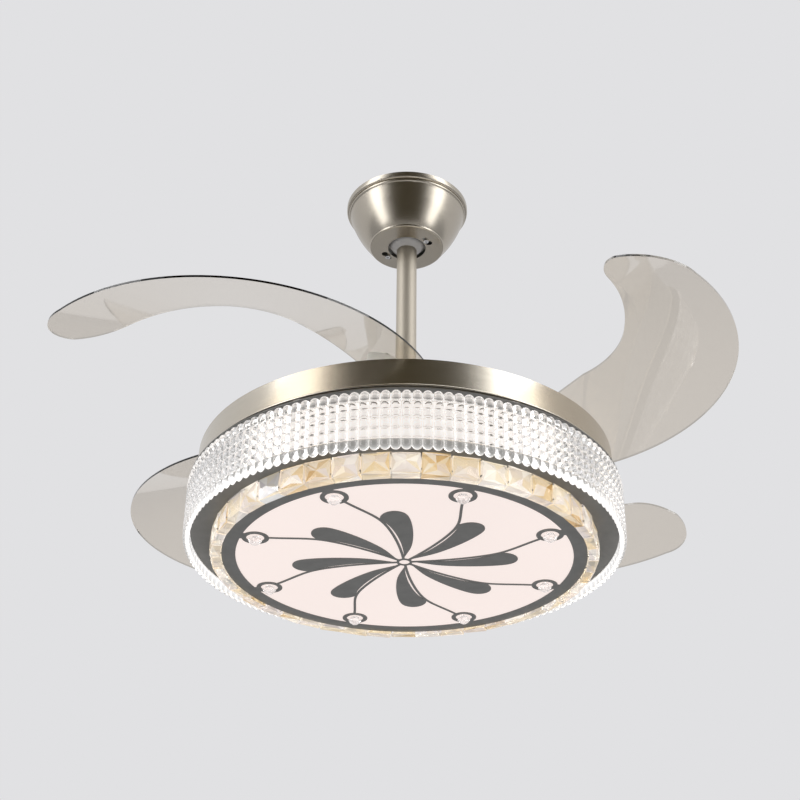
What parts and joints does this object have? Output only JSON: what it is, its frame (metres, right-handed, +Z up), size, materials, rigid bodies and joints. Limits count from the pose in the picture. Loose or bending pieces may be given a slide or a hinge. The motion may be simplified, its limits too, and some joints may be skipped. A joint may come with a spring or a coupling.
{
  "type": "ceiling fan with folding blades and light",
  "caption": "Ceiling fan on a downrod: clear crescent blades fold in over a round light drum with a bead band, amber crystals and a glowing panel.",
  "frame": {"origin": "on the ceiling plane, midway between the bracket's two bolt holes, on the fan's axis", "axes": "+Z up, square to the ceiling; X along the bracket's bolt holes"},
  "size_m": [0.7898, 0.7898, 0.541],
  "materials": {
    "nickel": "brushed nickel",
    "zinc_steel": "zinc plated",
    "bright_steel": "ground",
    "ball_grey": "moulded",
    "receiver_grey": "moulded",
    "core_steel": "laminated",
    "copper": "enamelled wire",
    "cast_alloy": "die cast",
    "tray_alloy": "satin",
    "nylon": "moulded",
    "bronze": "sintered",
    "smoke_acrylic": "clear moulded",
    "clear_acrylic": "clear moulded beads",
    "gunmetal": "satin dark",
    "white_plastic": "moulded",
    "amber_glass": "cut and tinted",
    "clear_glass": "cut",
    "frosted_acrylic": "frosted, lit from behind",
    "board_white": "white solder mask",
    "led_yellow": "phosphor"
  },
  "bodies": {
    "mount": {"hanger_bracket": "zinc_steel", "canopy": "nickel", "canopy_screws": "bright_steel", "receiver_box": "receiver_grey"},
    "suspension": {"hanger_ball": "ball_grey", "ball_pin": "bright_steel", "downrod": "nickel", "coupling": "zinc_steel", "coupling_bolt": "zinc_steel", "coupling_set_screws": "zinc_steel", "coupling_cover": "nickel", "motor_shaft": "bright_steel", "stator_core": "core_steel", "stator_windings": "copper", "shaft_nut": "zinc_steel", "lamp_plate": "zinc_steel", "lamp_pan": "nickel", "pan_screws": "zinc_steel", "frame_posts": "zinc_steel", "upper_frame_ring": "gunmetal", "bead_band": "clear_acrylic", "band_reflector": "white_plastic", "lower_frame_ring": "gunmetal", "crystal_collar": "frosted_acrylic", "amber_crystals": "amber_glass", "crystal_pins": "gunmetal", "diffuser_panel": "frosted_acrylic", "panel_ornament": "gunmetal", "panel_crystals": "clear_glass", "panel_clips": "zinc_steel", "led_board": "board_white", "panel_leds": "led_yellow", "led_driver": "white_plastic"},
    "rotor": {"rotor_upper_bell": "cast_alloy", "rotor_lower_bell": "cast_alloy", "magnet_ring": "core_steel", "motor_bearings": "bright_steel", "rotor_screws": "zinc_steel", "motor_cover": "nickel", "blade_tray": "tray_alloy", "pivot_bushes": "bronze", "return_springs": "bright_steel", "ring_guides": "nylon"},
    "sync": {"sync_ring": "nylon"},
    "blade_arm_1": {"blade_1": "smoke_acrylic", "blade_hub_1": "nylon", "pivot_pin_1": "bright_steel", "blade_fasteners_1": "zinc_steel"},
    "blade_arm_2": {"blade_2": "smoke_acrylic", "blade_hub_2": "nylon", "pivot_pin_2": "bright_steel", "blade_fasteners_2": "zinc_steel"},
    "blade_arm_3": {"blade_3": "smoke_acrylic", "blade_hub_3": "nylon", "pivot_pin_3": "bright_steel", "blade_fasteners_3": "zinc_steel"},
    "blade_arm_4": {"blade_4": "smoke_acrylic", "blade_hub_4": "nylon", "pivot_pin_4": "bright_steel", "blade_fasteners_4": "zinc_steel"}
  },
  "joints": [
    {"name": "hang_swing", "type": "hinge", "parent": "mount", "child": "suspension", "pos_m": [0, 0, -0.046], "axis": [1, 0, 0], "range_deg": [-15, 15]},
    {"name": "rotor_spin", "type": "hinge", "parent": "suspension", "child": "rotor", "pos_m": [0, 0, -0.366], "axis": [0, 0, 1], "continuous": true},
    {"name": "blade_1_fold", "type": "hinge", "parent": "rotor", "child": "blade_arm_1", "pos_m": [0.18781, -0.0212, -0.39], "axis": [0, 0, 1], "range_deg": [-78, 0]},
    {"name": "blade_2_fold", "type": "hinge", "parent": "rotor", "child": "blade_arm_2", "pos_m": [-0.0212, -0.18781, -0.39], "axis": [0, 0, 1], "range_deg": [-78, 0]},
    {"name": "blade_3_fold", "type": "hinge", "parent": "rotor", "child": "blade_arm_3", "pos_m": [-0.18781, 0.0212, -0.39], "axis": [0, 0, 1], "range_deg": [-78, 0]},
    {"name": "blade_4_fold", "type": "hinge", "parent": "rotor", "child": "blade_arm_4", "pos_m": [0.0212, 0.18781, -0.39], "axis": [0, 0, 1], "range_deg": [-78, 0]},
    {"name": "sync_turn", "type": "hinge", "parent": "rotor", "child": "sync", "pos_m": [0, 0, -0.39], "axis": [0, 0, 1], "range_deg": [0, 39]}
  ],
  "couplings": [
    {"joint": "blade_2_fold", "follows": "blade_1_fold", "ratio": 1},
    {"joint": "blade_3_fold", "follows": "blade_1_fold", "ratio": 1},
    {"joint": "blade_4_fold", "follows": "blade_1_fold", "ratio": 1},
    {"joint": "sync_turn", "follows": "blade_1_fold", "ratio": -0.5}
  ]
}
